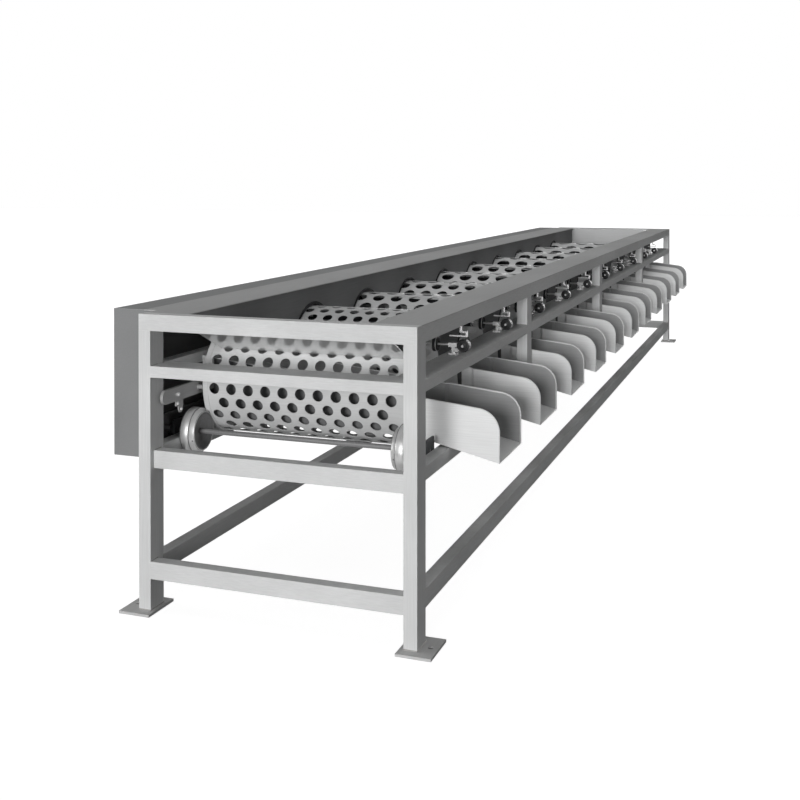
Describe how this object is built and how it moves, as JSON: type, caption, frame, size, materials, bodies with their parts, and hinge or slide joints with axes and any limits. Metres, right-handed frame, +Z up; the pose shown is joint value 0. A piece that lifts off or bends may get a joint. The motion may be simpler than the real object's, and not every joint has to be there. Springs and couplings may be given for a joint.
{
  "type": "vegetable sorting machine",
  "caption": "Long steel drum grader: perforated drums on support wheels sort vegetables by size into sloping side outlets, driven by a guarded chain.",
  "frame": {"origin": "on the floor under the middle of the machine", "axes": "+X towards the outlet chutes, +Y along the flow of the produce, +Z up"},
  "size_m": [1.48, 7.7904, 1.115],
  "materials": {
    "frame_steel": "satin",
    "deck_steel": "satin",
    "panel_steel": "satin",
    "plate_steel": "polished",
    "guard_steel": "satin",
    "chute_steel": "satin",
    "drum_steel": "satin",
    "foot_steel": "satin",
    "wheel_steel": "turned",
    "bright_steel": "polished",
    "bearing_iron": "painted",
    "chain_steel": "oiled",
    "motor_paint": "painted",
    "roller_rubber": "matt",
    "grip_black": "satin"
  },
  "bodies": {
    "frame": {"corner_posts": "frame_steel", "side_posts": "frame_steel", "top_rails": "frame_steel", "top_decks": "deck_steel", "mid_rails": "frame_steel", "lower_rails": "frame_steel", "floor_stretchers": "frame_steel", "foot_plates": "foot_steel", "trough_panels": "panel_steel", "trough_plates": "plate_steel", "drive_guard": "guard_steel", "outlet_chutes": "chute_steel", "shaft_bearings": "bearing_iron", "drive_chain": "chain_steel", "gearmotor": "motor_paint", "roller_stands": "bright_steel", "clamp_grips": "grip_black", "guide_bar": "frame_steel", "fasteners": "bright_steel"},
    "drum_1": {"drum_1": "drum_steel"},
    "drum_2": {"drum_2": "drum_steel"},
    "drum_3": {"drum_3": "drum_steel"},
    "drum_4": {"drum_4": "drum_steel"},
    "drum_5": {"drum_5": "drum_steel"},
    "drum_6": {"drum_6": "drum_steel"},
    "drum_7": {"drum_7": "drum_steel"},
    "drum_8": {"drum_8": "drum_steel"},
    "drum_9": {"drum_9": "drum_steel"},
    "drum_10": {"drum_10": "drum_steel"},
    "driven_wheels_1": {"driven_wheels_1": "wheel_steel"},
    "idler_wheels_1": {"idler_wheels_1": "wheel_steel"},
    "push_roller_1": {"push_roller_1": "roller_rubber"},
    "driven_wheels_2": {"driven_wheels_2": "wheel_steel"},
    "idler_wheels_2": {"idler_wheels_2": "wheel_steel"},
    "push_roller_2": {"push_roller_2": "roller_rubber"},
    "driven_wheels_3": {"driven_wheels_3": "wheel_steel"},
    "idler_wheels_3": {"idler_wheels_3": "wheel_steel"},
    "push_roller_3": {"push_roller_3": "roller_rubber"},
    "driven_wheels_4": {"driven_wheels_4": "wheel_steel"},
    "idler_wheels_4": {"idler_wheels_4": "wheel_steel"},
    "push_roller_4": {"push_roller_4": "roller_rubber"},
    "driven_wheels_5": {"driven_wheels_5": "wheel_steel"},
    "idler_wheels_5": {"idler_wheels_5": "wheel_steel"},
    "push_roller_5": {"push_roller_5": "roller_rubber"},
    "driven_wheels_6": {"driven_wheels_6": "wheel_steel"},
    "idler_wheels_6": {"idler_wheels_6": "wheel_steel"},
    "push_roller_6": {"push_roller_6": "roller_rubber"},
    "driven_wheels_7": {"driven_wheels_7": "wheel_steel"},
    "idler_wheels_7": {"idler_wheels_7": "wheel_steel"},
    "push_roller_7": {"push_roller_7": "roller_rubber"},
    "driven_wheels_8": {"driven_wheels_8": "wheel_steel"},
    "idler_wheels_8": {"idler_wheels_8": "wheel_steel"},
    "push_roller_8": {"push_roller_8": "roller_rubber"},
    "driven_wheels_9": {"driven_wheels_9": "wheel_steel"},
    "idler_wheels_9": {"idler_wheels_9": "wheel_steel"},
    "push_roller_9": {"push_roller_9": "roller_rubber"},
    "driven_wheels_10": {"driven_wheels_10": "wheel_steel"},
    "idler_wheels_10": {"idler_wheels_10": "wheel_steel"},
    "push_roller_10": {"push_roller_10": "roller_rubber"},
    "drive_sprocket": {"drive_sprocket": "chain_steel"}
  },
  "joints": [
    {"name": "drum_1_spin", "type": "hinge", "parent": "frame", "child": "drum_1", "pos_m": [0, -3.32222, 0.8], "axis": [-1, 0, 0], "continuous": true},
    {"name": "drum_2_spin", "type": "hinge", "parent": "frame", "child": "drum_2", "pos_m": [0, -2.64818, 0.8], "axis": [-1, 0, 0], "continuous": true},
    {"name": "drum_3_spin", "type": "hinge", "parent": "frame", "child": "drum_3", "pos_m": [0, -1.97413, 0.8], "axis": [-1, 0, 0], "continuous": true},
    {"name": "drum_4_spin", "type": "hinge", "parent": "frame", "child": "drum_4", "pos_m": [0, -1.30009, 0.8], "axis": [-1, 0, 0], "continuous": true},
    {"name": "drum_5_spin", "type": "hinge", "parent": "frame", "child": "drum_5", "pos_m": [0, -0.62604, 0.8], "axis": [-1, 0, 0], "continuous": true},
    {"name": "drum_6_spin", "type": "hinge", "parent": "frame", "child": "drum_6", "pos_m": [0, 0.048, 0.8], "axis": [-1, 0, 0], "continuous": true},
    {"name": "drum_7_spin", "type": "hinge", "parent": "frame", "child": "drum_7", "pos_m": [0, 0.72204, 0.8], "axis": [-1, 0, 0], "continuous": true},
    {"name": "drum_8_spin", "type": "hinge", "parent": "frame", "child": "drum_8", "pos_m": [0, 1.39609, 0.8], "axis": [-1, 0, 0], "continuous": true},
    {"name": "drum_9_spin", "type": "hinge", "parent": "frame", "child": "drum_9", "pos_m": [0, 2.07013, 0.8], "axis": [-1, 0, 0], "continuous": true},
    {"name": "drum_10_spin", "type": "hinge", "parent": "frame", "child": "drum_10", "pos_m": [0, 2.74417, 0.8], "axis": [-1, 0, 0], "continuous": true},
    {"name": "driven_wheels_1_spin", "type": "hinge", "parent": "frame", "child": "driven_wheels_1", "pos_m": [0, -3.56159, 0.622], "axis": [-1, 0, 0], "continuous": true},
    {"name": "idler_wheels_1_spin", "type": "hinge", "parent": "frame", "child": "idler_wheels_1", "pos_m": [0, -3.08285, 0.622], "axis": [-1, 0, 0], "continuous": true},
    {"name": "push_roller_1_spin", "type": "hinge", "parent": "frame", "child": "push_roller_1", "pos_m": [0, -3.20835, 0.961], "axis": [-1, 0, 0], "continuous": true},
    {"name": "driven_wheels_2_spin", "type": "hinge", "parent": "frame", "child": "driven_wheels_2", "pos_m": [0, -2.88755, 0.622], "axis": [-1, 0, 0], "continuous": true},
    {"name": "idler_wheels_2_spin", "type": "hinge", "parent": "frame", "child": "idler_wheels_2", "pos_m": [0, -2.4088, 0.622], "axis": [-1, 0, 0], "continuous": true},
    {"name": "push_roller_2_spin", "type": "hinge", "parent": "frame", "child": "push_roller_2", "pos_m": [0, -2.5343, 0.961], "axis": [-1, 0, 0], "continuous": true},
    {"name": "driven_wheels_3_spin", "type": "hinge", "parent": "frame", "child": "driven_wheels_3", "pos_m": [0, -2.2135, 0.622], "axis": [-1, 0, 0], "continuous": true},
    {"name": "idler_wheels_3_spin", "type": "hinge", "parent": "frame", "child": "idler_wheels_3", "pos_m": [0, -1.73476, 0.622], "axis": [-1, 0, 0], "continuous": true},
    {"name": "push_roller_3_spin", "type": "hinge", "parent": "frame", "child": "push_roller_3", "pos_m": [0, -1.86026, 0.961], "axis": [-1, 0, 0], "continuous": true},
    {"name": "driven_wheels_4_spin", "type": "hinge", "parent": "frame", "child": "driven_wheels_4", "pos_m": [0, -1.53946, 0.622], "axis": [-1, 0, 0], "continuous": true},
    {"name": "idler_wheels_4_spin", "type": "hinge", "parent": "frame", "child": "idler_wheels_4", "pos_m": [0, -1.06072, 0.622], "axis": [-1, 0, 0], "continuous": true},
    {"name": "push_roller_4_spin", "type": "hinge", "parent": "frame", "child": "push_roller_4", "pos_m": [0, -1.18622, 0.961], "axis": [-1, 0, 0], "continuous": true},
    {"name": "driven_wheels_5_spin", "type": "hinge", "parent": "frame", "child": "driven_wheels_5", "pos_m": [0, -0.86542, 0.622], "axis": [-1, 0, 0], "continuous": true},
    {"name": "idler_wheels_5_spin", "type": "hinge", "parent": "frame", "child": "idler_wheels_5", "pos_m": [0, -0.38667, 0.622], "axis": [-1, 0, 0], "continuous": true},
    {"name": "push_roller_5_spin", "type": "hinge", "parent": "frame", "child": "push_roller_5", "pos_m": [0, -0.51217, 0.961], "axis": [-1, 0, 0], "continuous": true},
    {"name": "driven_wheels_6_spin", "type": "hinge", "parent": "frame", "child": "driven_wheels_6", "pos_m": [0, -0.19137, 0.622], "axis": [-1, 0, 0], "continuous": true},
    {"name": "idler_wheels_6_spin", "type": "hinge", "parent": "frame", "child": "idler_wheels_6", "pos_m": [0, 0.28737, 0.622], "axis": [-1, 0, 0], "continuous": true},
    {"name": "push_roller_6_spin", "type": "hinge", "parent": "frame", "child": "push_roller_6", "pos_m": [0, 0.16187, 0.961], "axis": [-1, 0, 0], "continuous": true},
    {"name": "driven_wheels_7_spin", "type": "hinge", "parent": "frame", "child": "driven_wheels_7", "pos_m": [0, 0.48267, 0.622], "axis": [-1, 0, 0], "continuous": true},
    {"name": "idler_wheels_7_spin", "type": "hinge", "parent": "frame", "child": "idler_wheels_7", "pos_m": [0, 0.96142, 0.622], "axis": [-1, 0, 0], "continuous": true},
    {"name": "push_roller_7_spin", "type": "hinge", "parent": "frame", "child": "push_roller_7", "pos_m": [0, 0.83592, 0.961], "axis": [-1, 0, 0], "continuous": true},
    {"name": "driven_wheels_8_spin", "type": "hinge", "parent": "frame", "child": "driven_wheels_8", "pos_m": [0, 1.15672, 0.622], "axis": [-1, 0, 0], "continuous": true},
    {"name": "idler_wheels_8_spin", "type": "hinge", "parent": "frame", "child": "idler_wheels_8", "pos_m": [0, 1.63546, 0.622], "axis": [-1, 0, 0], "continuous": true},
    {"name": "push_roller_8_spin", "type": "hinge", "parent": "frame", "child": "push_roller_8", "pos_m": [0, 1.50996, 0.961], "axis": [-1, 0, 0], "continuous": true},
    {"name": "driven_wheels_9_spin", "type": "hinge", "parent": "frame", "child": "driven_wheels_9", "pos_m": [0, 1.83076, 0.622], "axis": [-1, 0, 0], "continuous": true},
    {"name": "idler_wheels_9_spin", "type": "hinge", "parent": "frame", "child": "idler_wheels_9", "pos_m": [0, 2.3095, 0.622], "axis": [-1, 0, 0], "continuous": true},
    {"name": "push_roller_9_spin", "type": "hinge", "parent": "frame", "child": "push_roller_9", "pos_m": [0, 2.184, 0.961], "axis": [-1, 0, 0], "continuous": true},
    {"name": "driven_wheels_10_spin", "type": "hinge", "parent": "frame", "child": "driven_wheels_10", "pos_m": [0, 2.5048, 0.622], "axis": [-1, 0, 0], "continuous": true},
    {"name": "idler_wheels_10_spin", "type": "hinge", "parent": "frame", "child": "idler_wheels_10", "pos_m": [0, 2.98355, 0.622], "axis": [-1, 0, 0], "continuous": true},
    {"name": "push_roller_10_spin", "type": "hinge", "parent": "frame", "child": "push_roller_10", "pos_m": [0, 2.85805, 0.961], "axis": [-1, 0, 0], "continuous": true},
    {"name": "drive_sprocket_spin", "type": "hinge", "parent": "frame", "child": "drive_sprocket", "pos_m": [-0.63, 3.19017, 0.622], "axis": [-1, 0, 0], "continuous": true}
  ],
  "couplings": [
    {"joint": "drum_2_spin", "follows": "drum_1_spin", "ratio": 1},
    {"joint": "drum_3_spin", "follows": "drum_1_spin", "ratio": 1},
    {"joint": "drum_4_spin", "follows": "drum_1_spin", "ratio": 1},
    {"joint": "drum_5_spin", "follows": "drum_1_spin", "ratio": 1},
    {"joint": "drum_6_spin", "follows": "drum_1_spin", "ratio": 1},
    {"joint": "drum_7_spin", "follows": "drum_1_spin", "ratio": 1},
    {"joint": "drum_8_spin", "follows": "drum_1_spin", "ratio": 1},
    {"joint": "drum_9_spin", "follows": "drum_1_spin", "ratio": 1},
    {"joint": "drum_10_spin", "follows": "drum_1_spin", "ratio": 1},
    {"joint": "driven_wheels_1_spin", "follows": "drum_1_spin", "ratio": -2.8701},
    {"joint": "idler_wheels_1_spin", "follows": "drum_1_spin", "ratio": -2.8701},
    {"joint": "push_roller_1_spin", "follows": "drum_1_spin", "ratio": 11.395},
    {"joint": "driven_wheels_2_spin", "follows": "drum_1_spin", "ratio": -2.8701},
    {"joint": "idler_wheels_2_spin", "follows": "drum_1_spin", "ratio": -2.8701},
    {"joint": "push_roller_2_spin", "follows": "drum_1_spin", "ratio": 11.395},
    {"joint": "driven_wheels_3_spin", "follows": "drum_1_spin", "ratio": -2.8701},
    {"joint": "idler_wheels_3_spin", "follows": "drum_1_spin", "ratio": -2.8701},
    {"joint": "push_roller_3_spin", "follows": "drum_1_spin", "ratio": 11.395},
    {"joint": "driven_wheels_4_spin", "follows": "drum_1_spin", "ratio": -2.8701},
    {"joint": "idler_wheels_4_spin", "follows": "drum_1_spin", "ratio": -2.8701},
    {"joint": "push_roller_4_spin", "follows": "drum_1_spin", "ratio": 11.395},
    {"joint": "driven_wheels_5_spin", "follows": "drum_1_spin", "ratio": -2.8701},
    {"joint": "idler_wheels_5_spin", "follows": "drum_1_spin", "ratio": -2.8701},
    {"joint": "push_roller_5_spin", "follows": "drum_1_spin", "ratio": 11.395},
    {"joint": "driven_wheels_6_spin", "follows": "drum_1_spin", "ratio": -2.8701},
    {"joint": "idler_wheels_6_spin", "follows": "drum_1_spin", "ratio": -2.8701},
    {"joint": "push_roller_6_spin", "follows": "drum_1_spin", "ratio": 11.395},
    {"joint": "driven_wheels_7_spin", "follows": "drum_1_spin", "ratio": -2.8701},
    {"joint": "idler_wheels_7_spin", "follows": "drum_1_spin", "ratio": -2.8701},
    {"joint": "push_roller_7_spin", "follows": "drum_1_spin", "ratio": 11.395},
    {"joint": "driven_wheels_8_spin", "follows": "drum_1_spin", "ratio": -2.8701},
    {"joint": "idler_wheels_8_spin", "follows": "drum_1_spin", "ratio": -2.8701},
    {"joint": "push_roller_8_spin", "follows": "drum_1_spin", "ratio": 11.395},
    {"joint": "driven_wheels_9_spin", "follows": "drum_1_spin", "ratio": -2.8701},
    {"joint": "idler_wheels_9_spin", "follows": "drum_1_spin", "ratio": -2.8701},
    {"joint": "push_roller_9_spin", "follows": "drum_1_spin", "ratio": 11.395},
    {"joint": "driven_wheels_10_spin", "follows": "drum_1_spin", "ratio": -2.8701},
    {"joint": "idler_wheels_10_spin", "follows": "drum_1_spin", "ratio": -2.8701},
    {"joint": "push_roller_10_spin", "follows": "drum_1_spin", "ratio": 11.395},
    {"joint": "drive_sprocket_spin", "follows": "drum_1_spin", "ratio": -2.8701}
  ]
}
